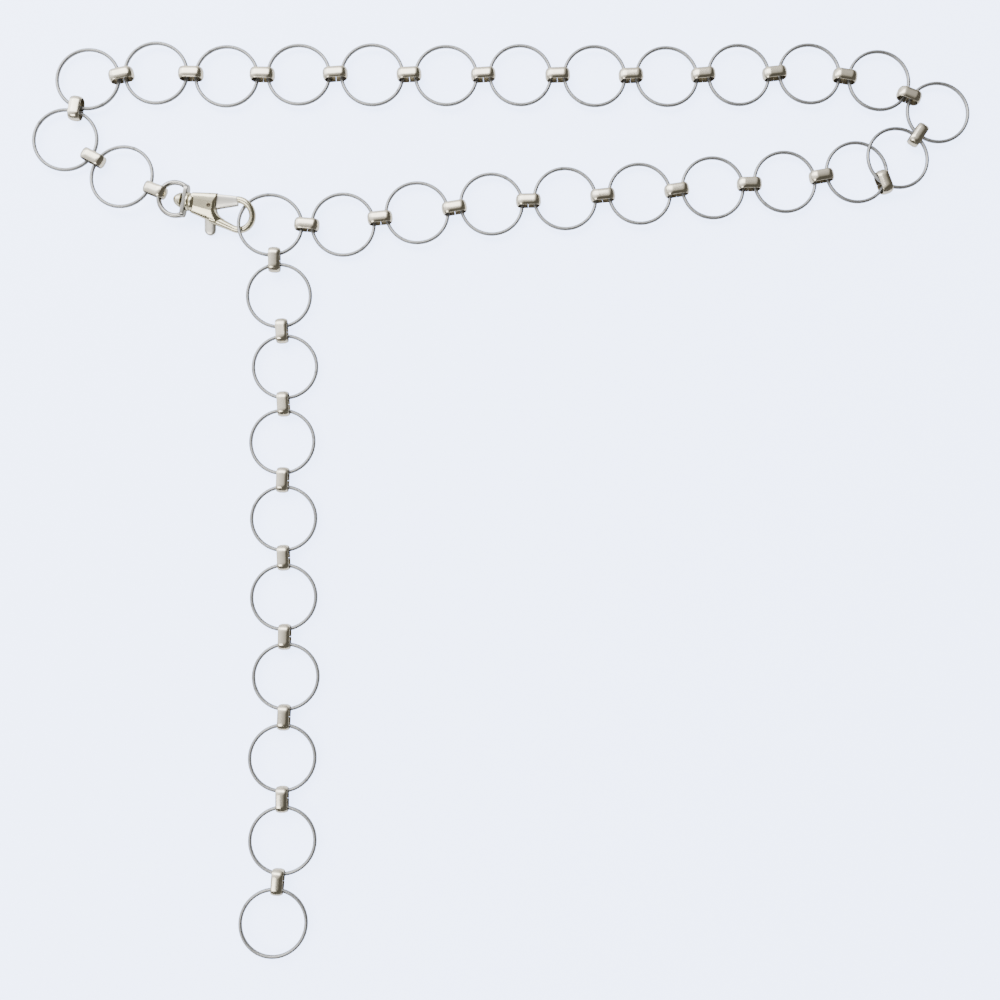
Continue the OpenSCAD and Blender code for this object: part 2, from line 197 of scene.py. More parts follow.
def feed(tree, node, **inputs):
    for key, value in inputs.items():
        socket = node.inputs[int(key[1:])] if key[1:].isdigit() else node.inputs[key.replace("_", " ")]
        if isinstance(value, bpy.types.NodeSocket):
            tree.links.new(value, socket)
        else:
            socket.default_value = value
    return node


def newGroup(name, ins, outs):
    tree = bpy.data.node_groups.new(name, "ShaderNodeTree")
    for way, sockets in (("INPUT", ins), ("OUTPUT", outs)):
        for key, kind in sockets.items():
            tree.interface.new_socket(key, in_out=way, socket_type="NodeSocket" + kind)
    return tree, tree.nodes.new("NodeGroupInput").outputs, tree.nodes.new("NodeGroupOutput").inputs


def calc(tree, operation, a, b=0.0, clamp=False):
    node = newNode(tree, "Math", operation=operation, use_clamp=clamp)
    return feed(tree, node, _0=a, _1=b).outputs[0]


platingSettings = {"cloudLift": 0.15, "markDulls": 0.35}


# Plated metal: broad clouds of slightly duller plating, fine grain, and a darker colour where it is marked
def makePlating():
    s = platingSettings
    tree, given, out = newGroup("plating", {
        "Vector": "Vector", "Metal": "Color", "Stain": "Color", "Clouds": "Float", "Cloud Depth": "Float",
        "Grain": "Float", "Gloss": "Float", "Gloss Spread": "Float", "Mark": "Float"},
        {"Color": "Color", "Roughness": "Float", "Height": "Float"})
    clouds = feed(tree, newNode(tree, "TexNoise"), Vector=given["Vector"], Scale=given["Clouds"], Detail=3.0)
    grain = feed(tree, newNode(tree, "TexNoise"), Vector=given["Vector"], Scale=given["Grain"], Detail=2.0)
    swing = calc(tree, "SUBTRACT", clouds.outputs["Fac"], 0.5)
    lifted = calc(tree, "ADD", swing, s["cloudLift"], clamp=True)
    deep = calc(tree, "MULTIPLY", lifted, given["Cloud Depth"])
    # The mark is a real stain at a ring's weld, and painted shade on the bands and the clasp
    stain = calc(tree, "ADD", deep, given["Mark"], clamp=True)
    mix = newNode(tree, "Mix", data_type="RGBA")
    feed(tree, mix, _0=stain, _6=given["Metal"], _7=given["Stain"])
    rough = calc(tree, "ADD", given["Gloss"], calc(tree, "MULTIPLY", swing, given["Gloss Spread"]))
    rough = calc(tree, "ADD", rough, calc(tree, "MULTIPLY", given["Mark"], s["markDulls"]), clamp=True)
    tree.links.new(mix.outputs[2], out["Color"])
    tree.links.new(rough, out["Roughness"])
    tree.links.new(grain.outputs["Fac"], out["Height"])
    return tree


# Drawing lines: noise stretched along the length of a wire or a strip
def makeDrawn():
    tree, given, out = newGroup("drawnLines", {"UV": "Vector", "Lines": "Float", "Stretch": "Float"},
                                {"Height": "Float", "Tone": "Float"})
    parts = feed(tree, newNode(tree, "SeparateXYZ"), _0=given["UV"])
    joined = newNode(tree, "CombineXYZ")
    feed(tree, joined, _0=calc(tree, "MULTIPLY", parts.outputs[0], given["Stretch"]), _1=parts.outputs[1])
    lines = feed(tree, newNode(tree, "TexNoise"), Vector=joined.outputs[0], Scale=given["Lines"], Detail=2.0)
    tree.links.new(lines.outputs["Fac"], out["Height"])
    tree.links.new(calc(tree, "SUBTRACT", lines.outputs["Fac"], 0.5), out["Tone"])
    return tree


plating, drawnLines = makePlating(), makeDrawn()


# Material of one look: the plating group, with drawing lines where the look has them, and one fine bump
def metalFinish(name, look):
    material = bpy.data.materials.new(name)
    material.use_nodes = True
    tree = material.node_tree
    shader = tree.nodes["Principled BSDF"]
    coords = newNode(tree, "TexCoord")
    skinGroup = newNode(tree, "Group")
    skinGroup.node_tree = plating
    feed(tree, skinGroup, Vector=coords.outputs["Object"], Metal=(*look["metal"], 1),
         Stain=(*look["stain"], 1), Clouds=look["clouds"], Cloud_Depth=look["cloudDepth"],
         Grain=look["grain"], Gloss=look["gloss"], Gloss_Spread=look["glossSpread"])
    if look.get("mark"):
        painted = newNode(tree, "Attribute", attribute_name=look["mark"])
        feed(tree, skinGroup, Mark=painted.outputs["Fac"])
    height, rough = skinGroup.outputs["Height"], skinGroup.outputs["Roughness"]
    if look.get("lines"):
        lines = newNode(tree, "Group")
        lines.node_tree = drawnLines
        feed(tree, lines, UV=coords.outputs["UV"], Lines=look["lines"], Stretch=look["stretch"])
        height = calc(tree, "ADD", height, lines.outputs["Height"])
        tone = calc(tree, "MULTIPLY", lines.outputs["Tone"], look["lineTone"])
        rough = calc(tree, "ADD", rough, tone, clamp=True)
    bump = newNode(tree, "Bump")
    feed(tree, bump, Strength=look["bump"], Distance=look["bumpDepth"] * mm, Height=height)
    feed(tree, shader, Base_Color=skinGroup.outputs["Color"], Roughness=rough, Normal=bump.outputs[0])
    shader.inputs["Metallic"].default_value = 1.0
    return material


ringLook = {
    "metal": (0.335, 0.34, 0.35), "stain": (0.21, 0.21, 0.205), "clouds": 220.0, "cloudDepth": 0.5,
    "grain": 5000.0, "gloss": 0.46, "glossSpread": 0.12, "mark": "weld",
    "lines": 9000.0, "stretch": 0.03, "lineTone": 0.12, "bump": 0.14, "bumpDepth": 0.02}
bandLook = {
    "metal": (0.72, 0.67, 0.565), "stain": (0.19, 0.16, 0.10), "clouds": 260.0, "cloudDepth": 0.45,
    "grain": 3600.0, "gloss": 0.19, "glossSpread": 0.12, "mark": "shade",
    "lines": 7000.0, "stretch": 0.04, "lineTone": 0.06, "bump": 0.06, "bumpDepth": 0.02}
eyeLook = {
    "metal": (0.38, 0.375, 0.36), "stain": (0.22, 0.21, 0.18), "clouds": 240.0, "cloudDepth": 0.4,
    "grain": 4200.0, "gloss": 0.2, "glossSpread": 0.1,
    "lines": 8000.0, "stretch": 0.04, "lineTone": 0.06, "bump": 0.08, "bumpDepth": 0.02}
claspLook = {
    "metal": (0.72, 0.67, 0.51), "stain": (0.18, 0.16, 0.08), "clouds": 200.0, "cloudDepth": 0.45,
    "grain": 3000.0, "gloss": 0.19, "glossSpread": 0.12, "mark": "shade", "bump": 0.12, "bumpDepth": 0.03}
leverLook = {
    "metal": (0.74, 0.72, 0.68), "stain": (0.22, 0.20, 0.175), "clouds": 210.0, "cloudDepth": 0.4,
    "grain": 3000.0, "gloss": 0.32, "glossSpread": 0.1, "mark": "shade", "bump": 0.12, "bumpDepth": 0.03}
rivetLook = {
    "metal": (0.13, 0.11, 0.08), "stain": (0.06, 0.05, 0.035), "clouds": 900.0, "cloudDepth": 0.9,
    "grain": 6000.0, "gloss": 0.36, "glossSpread": 0.2, "bump": 0.4, "bumpDepth": 0.03}
ringPlating = metalFinish("ringPlating", ringLook)
bandPlating = metalFinish("bandPlating", bandLook)
eyePlating = metalFinish("eyePlating", eyeLook)
claspPlating = metalFinish("claspPlating", claspLook)
leverPlating = metalFinish("leverPlating", leverLook)
rivetSteel = metalFinish("rivetSteel", rivetLook)
print("finishes made")


ringSettings = {
    "count": 34, "around": 144, "section": 16, "drawnOval": 0.012, "weldSwell": 0.035, "weldLength": 0.55,
    "weldFirst": 0.6, "weldStep": 2.4, "weldStain": 0.55}


# Ring of round wire: middle + (R + r cos b)(X cos a + Y sin a) + r sin b N, where a runs round the ring and
# b round the wire. The wire's r swells a little at the weld, as a bell curve of the length along the wire,
# and is a hair less towards the ring's inside and outside. Each ring's weld lies one step further round.
def ringSkin(node, index):
    s = ringSettings
    middle, axes, half = solidAxes(nodeTriangles(node))
    r = half[2]
    ringRadius = half[0] - r
    a = np.linspace(0, 2 * np.pi, s["around"], endpoint=False)[:, None]
    b = np.linspace(0, 2 * np.pi, s["section"], endpoint=False)[None, :]
    weldAt = s["weldStep"] * index + s["weldFirst"]
    off = (np.mod(a - weldAt + np.pi, 2 * np.pi) - np.pi) * ringRadius / mm
    weld = np.exp(-(off / s["weldLength"]) ** 2)
    wire = r + s["weldSwell"] * mm * weld - s["drawnOval"] * mm * (1 + np.cos(2 * b)) / 2
    outwards = np.cos(a)[..., None] * axes[0] + np.sin(a)[..., None] * axes[1]
    sideways = (ringRadius + wire * np.cos(b))[..., None] * outwards
    points = middle + sideways + (wire * np.sin(b))[..., None] * axes[2]
    return skin(points, loop=True, weld=s["weldStain"] * weld + 0 * b), middle


ringMiddles = []
for index in range(ringSettings["count"]):
    number = f"{index + 1:02d}"
    ring, middle = ringSkin(f"ring_{number}", index)
    ringMiddles.append(middle)
    dress(makePiece(f"wire_ring_{number}", [ring]), "chain", "ring_wire", ringPlating, f"ring_{number}")
ringMiddles = np.array(ringMiddles)
print("rings made:", len(ringMiddles))


bandSettings = {
    "waistCount": 24, "crown": 0.9, "edge": 0.4, "arcRows": 15, "straightRows": 5, "section": 30,
    "corner": 0.42, "seam": 0.14, "endSoft": 0.10, "endThin": (0.72, 0.93), "endNarrow": 0.15,
    "shade": 0.85, "edgeFrom": 0.95, "edgeShade": 5.0}


# Strip wrapped round a flat oval. The path runs from the seam under the band, along a straight, round a half
# circle, back over the top, round the other end and up to the seam again. The section stands on it: across
# y = W/2 cos, and outwards from 0 to a thickness of edge + rise (1 - (2y/W)^2), both through the
# rounded square wave, so the strip is flat inside, domed outside and soft along its edges. Its two cut ends
# at the seam are a little thinner and narrower.
def bandSkin(middle, axes, half):
    s = bandSettings
    length, height, width = half[0] * 2, half[1] * 2, half[2] * 2
    inner = height / 2 - s["crown"] * mm
    straight = length / 2 - s["crown"] * mm - inner
    gap, soft = s["seam"] / 2 * mm, s["endSoft"] * mm
    turn = np.linspace(-np.pi / 2, np.pi / 2, s["arcRows"])
    run = np.linspace(0, straight, s["straightRows"], endpoint=False)
    x = np.concatenate([[gap, gap + soft / 3, gap + soft], run[1:], straight + inner * np.cos(turn),
                        straight - run[1:], -run, -straight - inner * np.cos(turn), -straight + run[1:],
                        [-gap - soft, -gap - soft / 3, -gap]])
    under = [-inner] * (2 + s["straightRows"])
    over = [inner] * (2 * s["straightRows"] - 1)
    z = np.concatenate([under, inner * np.sin(turn), over, -inner * np.sin(turn), under])
    nx = np.where(abs(x) > straight, (x - np.sign(x) * straight) / inner, 0)
    nz = np.where(abs(x) > straight, z / inner, np.sign(z))
    across, out = superCurve(s["section"], s["corner"])
    y = width / 2 * across
    thick = (s["edge"] + (s["crown"] - s["edge"]) * (1 - across ** 2)) * mm
    taper = np.ones(len(x))
    taper[[0, -1]], taper[[1, -2]] = s["endThin"]
    lift = thick * (0.5 + 0.5 * out[None, :] * taper[:, None])
    x = x[:, None] + lift * nx[:, None]
    z = z[:, None] + lift * nz[:, None]
    y = y[None, :] * (1 - (1 - taper[:, None]) * s["endNarrow"])
    points = middle + x[..., None] * axes[0] + y[..., None] * axes[2] + z[..., None] * axes[1]
    # Painted shade: the inside of the strip, where the wire lies, and its outermost edges are marked darker
    inside = np.clip(-out, 0, 1)[None, :] * s["shade"]
    edge = np.clip(abs(across) - s["edgeFrom"], 0, 1)[None, :] * s["edgeShade"]
    return skin(points, shade=np.clip(inside + edge, 0, s["shade"]) + 0 * x)


# The solids of a node that holds several bands: each triangle goes to the nearest joint between two rings
def bandSolids(node, places):
    tris = nodeTriangles(node)
    away = np.linalg.norm(tris.mean(1)[:, None, :2] - places[None, :, :2], axis=-1)
    nearest = away.argmin(1)
    return [tris[nearest == k] for k in np.unique(nearest)]


# The band's own directions: its long way, then its height, which is the one nearest to the way up, then
# its width
def bandAxes(tris):
    middle, axes, half = solidAxes(tris)
    if abs(axes[1][2]) < abs(axes[2][2]):
        axes, half = axes[[0, 2, 1]], half[[0, 2, 1]]
    if axes[1][2] < 0:
        axes = np.array([axes[0], -axes[1], axes[2]])
    return middle, axes, half


ringJoints = (ringMiddles[1:] + ringMiddles[:-1]) / 2
waistCount = bandSettings["waistCount"]
for node, name, places in [("waist_bands", "waist_band_set", ringJoints[:waistCount]),
                           ("tail_bands", "tail_band_set", ringJoints[waistCount:])]:
    skins = [bandSkin(*bandAxes(tris)) for tris in bandSolids(node, places)]
    dress(makePiece(name, skins), "chain", "band_metal", bandPlating, node)
    print(name, "made:", len(skins), "bands")
claspBand = bandSkin(*bandAxes(nodeTriangles("clasp_band")))
dress(makePiece("clasp_band_strip", [claspBand]), "chain", "band_metal", bandPlating, "clasp_band")


# The clasp's own directions come from its two joints
joints = {joint["name"]: joint for joint in frame["joints"]}
swivel, pivot = joints["clasp_swivel"], joints["lever_pivot"]
claspMiddle = np.array(swivel["pos_m"])
claspAlong = unit(np.array(swivel["axis"]))
claspOut = -unit(np.array(pivot["axis"]))
claspAcross = np.cross(claspOut, claspAlong)
pivotAt = (np.array(pivot["pos_m"]) - claspMiddle) / mm
pivotAt = np.array([pivotAt @ claspAlong, pivotAt @ claspAcross])


# Places points given in millimetres along, across and out of the clasp, rolled about its length
def onClasp(points, roll=0.0):
    c, s = math.cos(roll), math.sin(roll)
    across = claspAcross * c + claspOut * s
    out = claspOut * c - claspAcross * s
    p = points * mm
    return claspMiddle + p[..., :1] * claspAlong + p[..., 1:2] * across + p[..., 2:] * out


# Round section carried along a path in the clasp's plane: path + r (cos b M + sin b Z), with M square to the
# path within the plane
def tubeOnPath(path, radius, count=28):
    way = np.gradient(path, axis=0)
    side = unit(np.stack([-way[:, 1], way[:, 0]], -1))
    b = np.linspace(0, 2 * np.pi, count, endpoint=False)
    flat = path[:, None, :] + (radius[:, None] * np.cos(b))[..., None] * side[:, None, :]
    return np.dstack([flat, radius[:, None] * np.sin(b)])


# Profile of along and radius turned about the clasp's length
def turned(profile, count=48):
    b = np.linspace(0, 2 * np.pi, count, endpoint=False)
    u, r = profile[:, :1], profile[:, 1:]
    return np.dstack([u + 0 * b, r * np.cos(b), r * np.sin(b)])


# Slab with soft edges between two lines: at each u the section runs across from low(u) to high(u) and out to
# plus and minus thick(u, v), both through rounded square waves
def slab(u, low, high, thick, corner=0.4, count=40):
    c, s = superCurve(count, corner, phase=0.02)  # a little off the axes
    v = (low + high)[:, None] / 2 + (high - low)[:, None] / 2 * c
    w = thick(u[:, None] + 0 * v, v) * s
    return np.dstack([u[:, None] + 0 * v, v, w])


eyeSettings = {
    "roll": -13.0, "wire": 1.9, "radius": 6.15, "middle": -3.70, "startAngle": 56.0, "rows": 96,
    "flare": 0.22, "flareLength": 0.9, "barLength": 12.4, "barHeight": 4.0, "barThick": 1.7, "barSquare": 6,
    "bore": 1.36, "section": 40, "corner": 0.5, "outerSoft": 0.924, "outerShare": 0.6,
    "boreSoft": 0.35, "boreShare": 0.3}


# Wire loop: a circle's arc whose wire swells towards both ends, where it is soldered into the bar
def eyeLoop():
    s = eyeSettings
    a = np.radians(np.linspace(s["startAngle"], 360 - s["startAngle"], s["rows"]))
    path = np.stack([s["middle"] + s["radius"] * np.cos(a), s["radius"] * np.sin(a)], -1)
    fromEnd = s["radius"] * np.minimum(a - a[0], a[-1] - a)
    radius = s["wire"] / 2 + s["flare"] * np.exp(-(fromEnd / s["flareLength"]) ** 2)
    return tubeOnPath(path, radius)


# Bar: an oval outline P(t) round a bore. Between bore and outline the skin goes over both flat faces and
# round both rims: point = bore + (outline - bore) k, with k and the thickness from the rounded square wave.
# Each rim is as wide as its softness, and at most a share of the way between bore and outline.
def eyeBar():
    s = eyeSettings
    end = s["barHeight"] / 2
    reach = s["barLength"] / 2 - end
    t = np.linspace(0, 2 * np.pi, s["rows"], endpoint=False)
    outline = np.stack([end * np.cos(t) + reach * np.tanh(s["barSquare"] * np.cos(t)), end * np.sin(t)], -1)
    bore = s["bore"] * unit(outline)
    span = np.linalg.norm(outline - bore, axis=1)[:, None]
    c, w = superCurve(s["section"], s["corner"])
    outerRim = 1 - (1 - c) * np.minimum(s["outerShare"], s["outerSoft"] / span)
    boreRim = (1 + c) * np.minimum(s["boreShare"], s["boreSoft"] / span)
    k = np.where(c > 0, outerRim, boreRim)
    flat = bore[:, None, :] + (outline - bore)[:, None, :] * k[..., None]
    return np.dstack([s["barThick"] / 2 * w + 0 * k, flat])


eyeRoll = math.radians(eyeSettings["roll"])
eyeSkins = [skin(onClasp(eyeLoop(), eyeRoll)), skin(onClasp(eyeBar(), eyeRoll), loop=True)]
eye = makePiece("swivel_eye_loop", eyeSkins)
dress(eye, "chain", "eye_wire", eyePlating, "swivel_eye")
print("swivel eye made")


# Body, limb, collar and post are one casting
hookSettings = {
    "voxel": 0.11, "softFactor": 0.5, "softRounds": 5,
    "cheekRows": 40, "rootRows": 30, "armRows": 24, "bowRows": 80, "collarRows": 44, "postSection": 32,
    "headRows": 36, "headSection": 40,
    "thick": 5.0, "domeRadius": 20.0, "thinFrom": 10.8, "thinOver": 3.6, "thinMost": 1.3,
    "heel": (3.2, -3.85), "heelLap": 0.3, "heelTop": 3.85, "cheekEnd": 12.0, "cheekTop": 5.2,
    "throat": (16.0, 0.2), "throatRadius": 4.0, "rootFrom": 9.5, "rootTo": 15.4, "rootCorner": 0.5,
    "limb": 2.6, "root": 4.0, "bowMiddle": (20.6, -1.2), "bowRadius": 5.5, "armTurn": -14.0, "armBack": 9.0,
    "armEnd": 0.15, "armTaper": 10, "tipAngle": 100.0, "tipCut": 10.85, "tipZone": (16, 0.5),
    "slot": 1.9, "slotSpare": 0.25, "slotCorner": 0.12, "slotSteps": (0.0, 0.5, 1.0), "rivetBore": 0.74,
    "boreReach": 3.4,
    "collar": 3.5, "collarFrom": 1.0, "collarTo": 3.7, "collarSoft": 0.35, "collarEnd": 0.7,
    "collarDrop": 0.25, "bead": 0.42, "grooveAt": 2.1, "grooveWidth": 0.26,
    "post": 1.3, "postRows": (-1.6, -1.2, 0.0, 1.6), "head": 2.95, "headFrom": -1.02, "headLength": 3.4,
    "headPoint": 0.18, "headNeck": (0.93, 1.2)}


# Cheeks and root of the limb: two slabs over one sloping underside. Each face is domed as a circle's arc
# across, and thins evenly towards the limb. The root's upper side is the throat, a circle's arc.
def hookBody():
    s = hookSettings
    slope = math.tan(math.radians(s["armTurn"]))

    def thick(u, v):
        dome = np.sqrt(s["domeRadius"] ** 2 - v ** 2) - s["domeRadius"] + s["thick"] / 2
        along = np.clip((u - s["thinFrom"]) / s["thinOver"], 0, s["thinMost"])
        thinner = along * (s["thick"] - s["limb"]) / 2
        return np.minimum(dome, s["thick"] / 2 - thinner)

    def underside(u):
        return s["heel"][1] + (u - s["heel"][0]) * slope

    u = np.linspace(s["heel"][0] - s["heelLap"], s["cheekEnd"], s["cheekRows"])
    high = s["heelTop"] + (u - s["heel"][0]) * (s["cheekTop"] - s["heelTop"]) / (s["cheekEnd"] - s["heel"][0])
    cheeks = slab(u, underside(u), high, thick)
    u = np.linspace(s["rootFrom"], s["rootTo"], s["rootRows"])
    x = np.clip(s["throat"][0] - u, 0, s["throatRadius"])
    high = s["throat"][1] - np.sqrt(s["throatRadius"] ** 2 - x ** 2)
    return [cheeks, slab(u, underside(u), high, thick, corner=s["rootCorner"])]


# Limb: a straight tapered arm, then a circle's arc round to the tip. The tip is cut to the circle that the
# lever's bar sweeps: points nearer to the pivot than that circle are pushed out to it
def hookLimb():
    s = hookSettings
    turn = math.radians(s["armTurn"])
    bow = np.array(s["bowMiddle"])
    a = np.linspace(turn - math.pi / 2, math.radians(s["tipAngle"]), s["bowRows"])
    arc = bow + s["bowRadius"] * np.stack([np.cos(a), np.sin(a)], -1)
    back = np.linspace(s["armBack"], s["armEnd"], s["armRows"])
    arm = arc[0] - back[:, None] * np.array([math.cos(turn), math.sin(turn)])
    widen = np.concatenate([back, 0 * a]) / s["armTaper"]
    radius = s["limb"] / 2 + (s["root"] - s["limb"]) / 2 * widen
    tube = tubeOnPath(np.vstack([arm, arc]), radius)
    away = tube[..., :2] - pivotAt
    distance = np.linalg.norm(away, axis=-1)
    atTip = (tube[..., 0] > s["tipZone"][0]) & (tube[..., 1] > s["tipZone"][1])
    push = np.where(atTip & (distance < s["tipCut"]), s["tipCut"] / distance, 1.0)
    tube[..., :2] = pivotAt + away * push[..., None]
    return tube


# Collar: radius over length. It rises over a soft first shoulder, dips in a groove between two beads, a bell
# curve of the length, and drops evenly at its far end
def hookCollar():
    s = hookSettings
    soft = s["collarSoft"]
    u = np.linspace(s["collarFrom"], s["collarTo"], s["collarRows"])
    shoulder = np.sqrt(1 - np.clip((s["collarFrom"] + soft - u) / soft, 0, 1) ** 2) * soft
    drop = np.clip((u - (s["collarTo"] - s["collarEnd"])) / s["collarEnd"], 0, 1) * s["collarDrop"]
    groove = s["bead"] * np.exp(-((u - s["grooveAt"]) / s["grooveWidth"]) ** 2)
    return turned(np.stack([u, s["collar"] - soft + shoulder - groove - drop], -1))


# Post through the eye's bar, a cylinder, and its round head: k runs from 0 to 1 over the head's length, and
# the radius is R sqrt(1 - k^2), drawn in a little towards the point and at the neck
def hookPost():
    s = hookSettings
    rows = np.array(s["postRows"])
    post = turned(np.stack([rows, s["post"] + 0 * rows], -1), s["postSection"])
    k = np.linspace(0, 1, s["headRows"])[:-1]
    neck = np.clip(s["headNeck"][0] + s["headNeck"][1] * k, 0, 1)
    r = s["head"] * np.sqrt(1 - k ** 2) * (1 - s["headPoint"] * k) * neck
    return post, turned(np.stack([s["headFrom"] - s["headLength"] * k, r], -1), s["headSection"])


leverSettings = {
    "voxel": 0.09, "softFactor": 0.5, "softRounds": 4, "hubRows": 30, "barRows": 60, "tabRows": 20,
    "thick": 1.6, "corner": 0.8, "swing": 22.0, "hub": 2.3, "bore": 0.76, "boreReach": 3.0,
    "barFrom": -0.6, "barTo": 11.8, "barEnd": 10.7, "barLow": ([-0.6, 1.15, 11.7], [-1.4, -1.84, 1.9]),
    "barHigh": ([-0.6, 1.0, 11.7], [2.4, 4.35, 5.3]), "tabTurn": -84.0, "tabFrom": 0.2, "tabWidth": 4.4,
    "tabReach": 11.3, "tabSweep": (0.05, 1.55), "tabThins": 0.86}


# Points turned in the clasp's plane: (x cos a - y sin a, x sin a + y cos a)
def turnAbout(points, degrees):
    a = math.radians(degrees)
    x, y = points[..., 0], points[..., 1]
    return np.dstack([x * math.cos(a) - y * math.sin(a), x * math.sin(a) + y * math.cos(a), points[..., 2]])


# Half width of a round end at x from its middle: sqrt(R^2 - x^2), kept a hair above nothing
def roundEnd(radius, x, least=0.0004):
    return np.sqrt(np.maximum(radius ** 2 - x ** 2, least))


# Lever's shells about its pivot, grown by g: a hub, a bar between two bent lines whose far end follows a
# circle about the pivot, and a thumb tab. The tab's round end is H sqrt(1 - a k^4) thick on each side, where
# k runs from 0 to 1 along it.
def leverShells(g, halfThick, corner):
    s = leverSettings
    tabRadius = s["tabWidth"] / 2 + g
    tabEnd = s["tabReach"] - s["tabWidth"] / 2

    def plate(u, v):
        return halfThick + 0 * u

    def thinned(u, v):
        return halfThick * np.sqrt(1 - s["tabThins"] * np.clip((u - tabEnd) / tabRadius, 0, 1) ** 4)

    u = np.linspace(-1, 1, s["hubRows"]) * (s["hub"] + g)
    rim = roundEnd(s["hub"] + g, u)
    hub = slab(u, -rim, rim, plate, corner)
    u = np.linspace(s["barFrom"], s["barTo"], s["barRows"])
    bar = slab(u, np.interp(u, *s["barLow"]) - g, np.interp(u, *s["barHigh"]) + g, plate, corner)
    away = np.linalg.norm(bar[..., :2], axis=-1, keepdims=True)
    bar[..., :2] *= np.minimum(1, (s["barEnd"] + g) / away)
    straight = np.linspace(s["tabFrom"], tabEnd, s["tabRows"])
    u = np.concatenate([straight, tabEnd + tabRadius * np.sin(np.linspace(*s["tabSweep"], s["tabRows"]))])
    rim = roundEnd(tabRadius, np.clip(u - tabEnd, 0, None))
    return [hub, bar, turnAbout(slab(u, -rim, rim, thinned, corner), s["tabTurn"])]


def atPivot(points):
    return points + np.array([pivotAt[0], pivotAt[1], 0.0])


# Pin lying along the way out of the clasp, as a stack of circles: (pivot + r cos b, pivot + r sin b, w) for
# each row w, r of its profile
def crossPin(profile, count=32):
    b = np.linspace(0, 2 * np.pi, count, endpoint=False)
    w, r = profile[:, :1], profile[:, 1:]
    return np.dstack([pivotAt[0] + r * np.cos(b), pivotAt[1] + r * np.sin(b), w + 0 * b])


def boreCutter(radius, reach):
    profile = np.array([[-reach, radius], [0.0, radius], [reach, radius]])
    return makePiece("boreCutter", [skin(onClasp(crossPin(profile)))])


# Slot for the lever: the lever's own shells, grown and swept from shut to open, are its cutters
slotParts = []
for share in hookSettings["slotSteps"]:
    for shell in leverShells(hookSettings["slotSpare"], hookSettings["slot"] / 2, hookSettings["slotCorner"]):
        slotParts.append(atPivot(turnAbout(shell, -share * leverSettings["swing"])))
cutters = [makePiece(f"slotCutter{k}", [skin(onClasp(part))]) for k, part in enumerate(slotParts)]
cutters.append(boreCutter(hookSettings["rivetBore"], hookSettings["boreReach"]))
hookShells = hookBody() + [hookLimb(), hookCollar(), *hookPost()]
hook = makePiece("clasp_hook", [skin(onClasp(shell)) for shell in hookShells])
fuse(hook, hookSettings, cutters)
print("hook made:", len(hook.data.polygons), "faces")

shells = leverShells(0.0, leverSettings["thick"] / 2, leverSettings["corner"])
lever = makePiece("clasp_lever", [skin(onClasp(atPivot(shell))) for shell in shells])
fuse(lever, leverSettings, [boreCutter(leverSettings["bore"], leverSettings["boreReach"])])
print("lever made:", len(lever.data.polygons), "faces")


# Painted shade on a casting: darker in its grooves, joins and slot, at the heel and along the body's top
# edge, painted from each point's own place: the sum of a bell curve of the distance from each given place on
# the clasp, up to a limit
def paintShade(piece, places, most=0.9):
    mesh = piece.data
    points = np.empty(len(mesh.vertices) * 3)
    mesh.vertices.foreach_get("co", points)
    p = (points.reshape(-1, 3) - claspMiddle) / mm
    p = np.stack([p @ claspAlong, p @ claspAcross, p @ claspOut], -1)
    shade = np.zeros(len(p))
    for at, reach, deep in places:
        away = (p - np.array(at)) / np.array(reach)
        shade += deep * np.exp(-(away ** 2).sum(1))
    mark = mesh.attributes.new("shade", "FLOAT", "POINT")
    mark.data.foreach_set("value", np.clip(shade, 0, most).astype(np.float32))


# Each place of painted shade: where it is, how far it reaches each way, how dark it gets
claspShade = [
    ((2.1, 0, 0), (0.3, 9, 9), 0.6), ((3.6, -3.6, 0), (1.0, 0.9, 3), 0.7),
    ((12.4, 1.0, 0), (1.0, 2.6, 2), 0.5), ((8.0, 4.7, 0), (3.5, 0.5, 1.6), 0.6),
    ((-1.1, 0, 0), (0.4, 4, 4), 0.5), ((19.6, 4.2, 0), (0.7, 1.5, 1.5), 0.4)]
leverShade = [((9.8, 0.4, 0), (1.2, 1.2, 2), 0.6), ((11.2, -3.6, 0), (1.5, 1.0, 1.5), 0.5)]
paintShade(hook, claspShade)
paintShade(lever, leverShade)
dress(hook, "hook_body", "clasp_metal", claspPlating, "hook")
dress(lever, "lever_body", "lever_metal", leverPlating, "trigger_lever")

# Rivet: a straight shank with a soft rim and a dished face at each end. The face is given as depths below the
# rivet's end and radii, from the dish's middle to the shank.
pinSettings = {
    "half": 2.6, "shank": 1.0,
    "face": [(0.16, 0.05), (0.144, 0.2), (0.05, 0.42), (0.0, 0.5), (0.03, 0.62), (0.12, 0.7)]}
depth, radius = np.array(pinSettings["face"]).T
face = np.stack([pinSettings["half"] - depth, radius], -1)
face = np.vstack([face, [pinSettings["shank"], radius[-1]]])
pin = makePiece("pivot_rivet", [skin(onClasp(crossPin(np.vstack([face * [-1, 1], face[::-1]]))))])
dress(pin, "hook_body", "pin_metal", rivetSteel, "pivot_pin")
print("rivet made")


tableSettings = {
    "size": 3.0, "rows": 13, "drop": 0.0003, "color": (0.80, 0.82, 0.86), "clouds": 5.0, "cloudTone": 0.985,
    "roughness": 0.9, "specular": 0.1, "shown": (3.15, 3.85, 5.9), "glow": (0.38, 0.385, 0.40)}


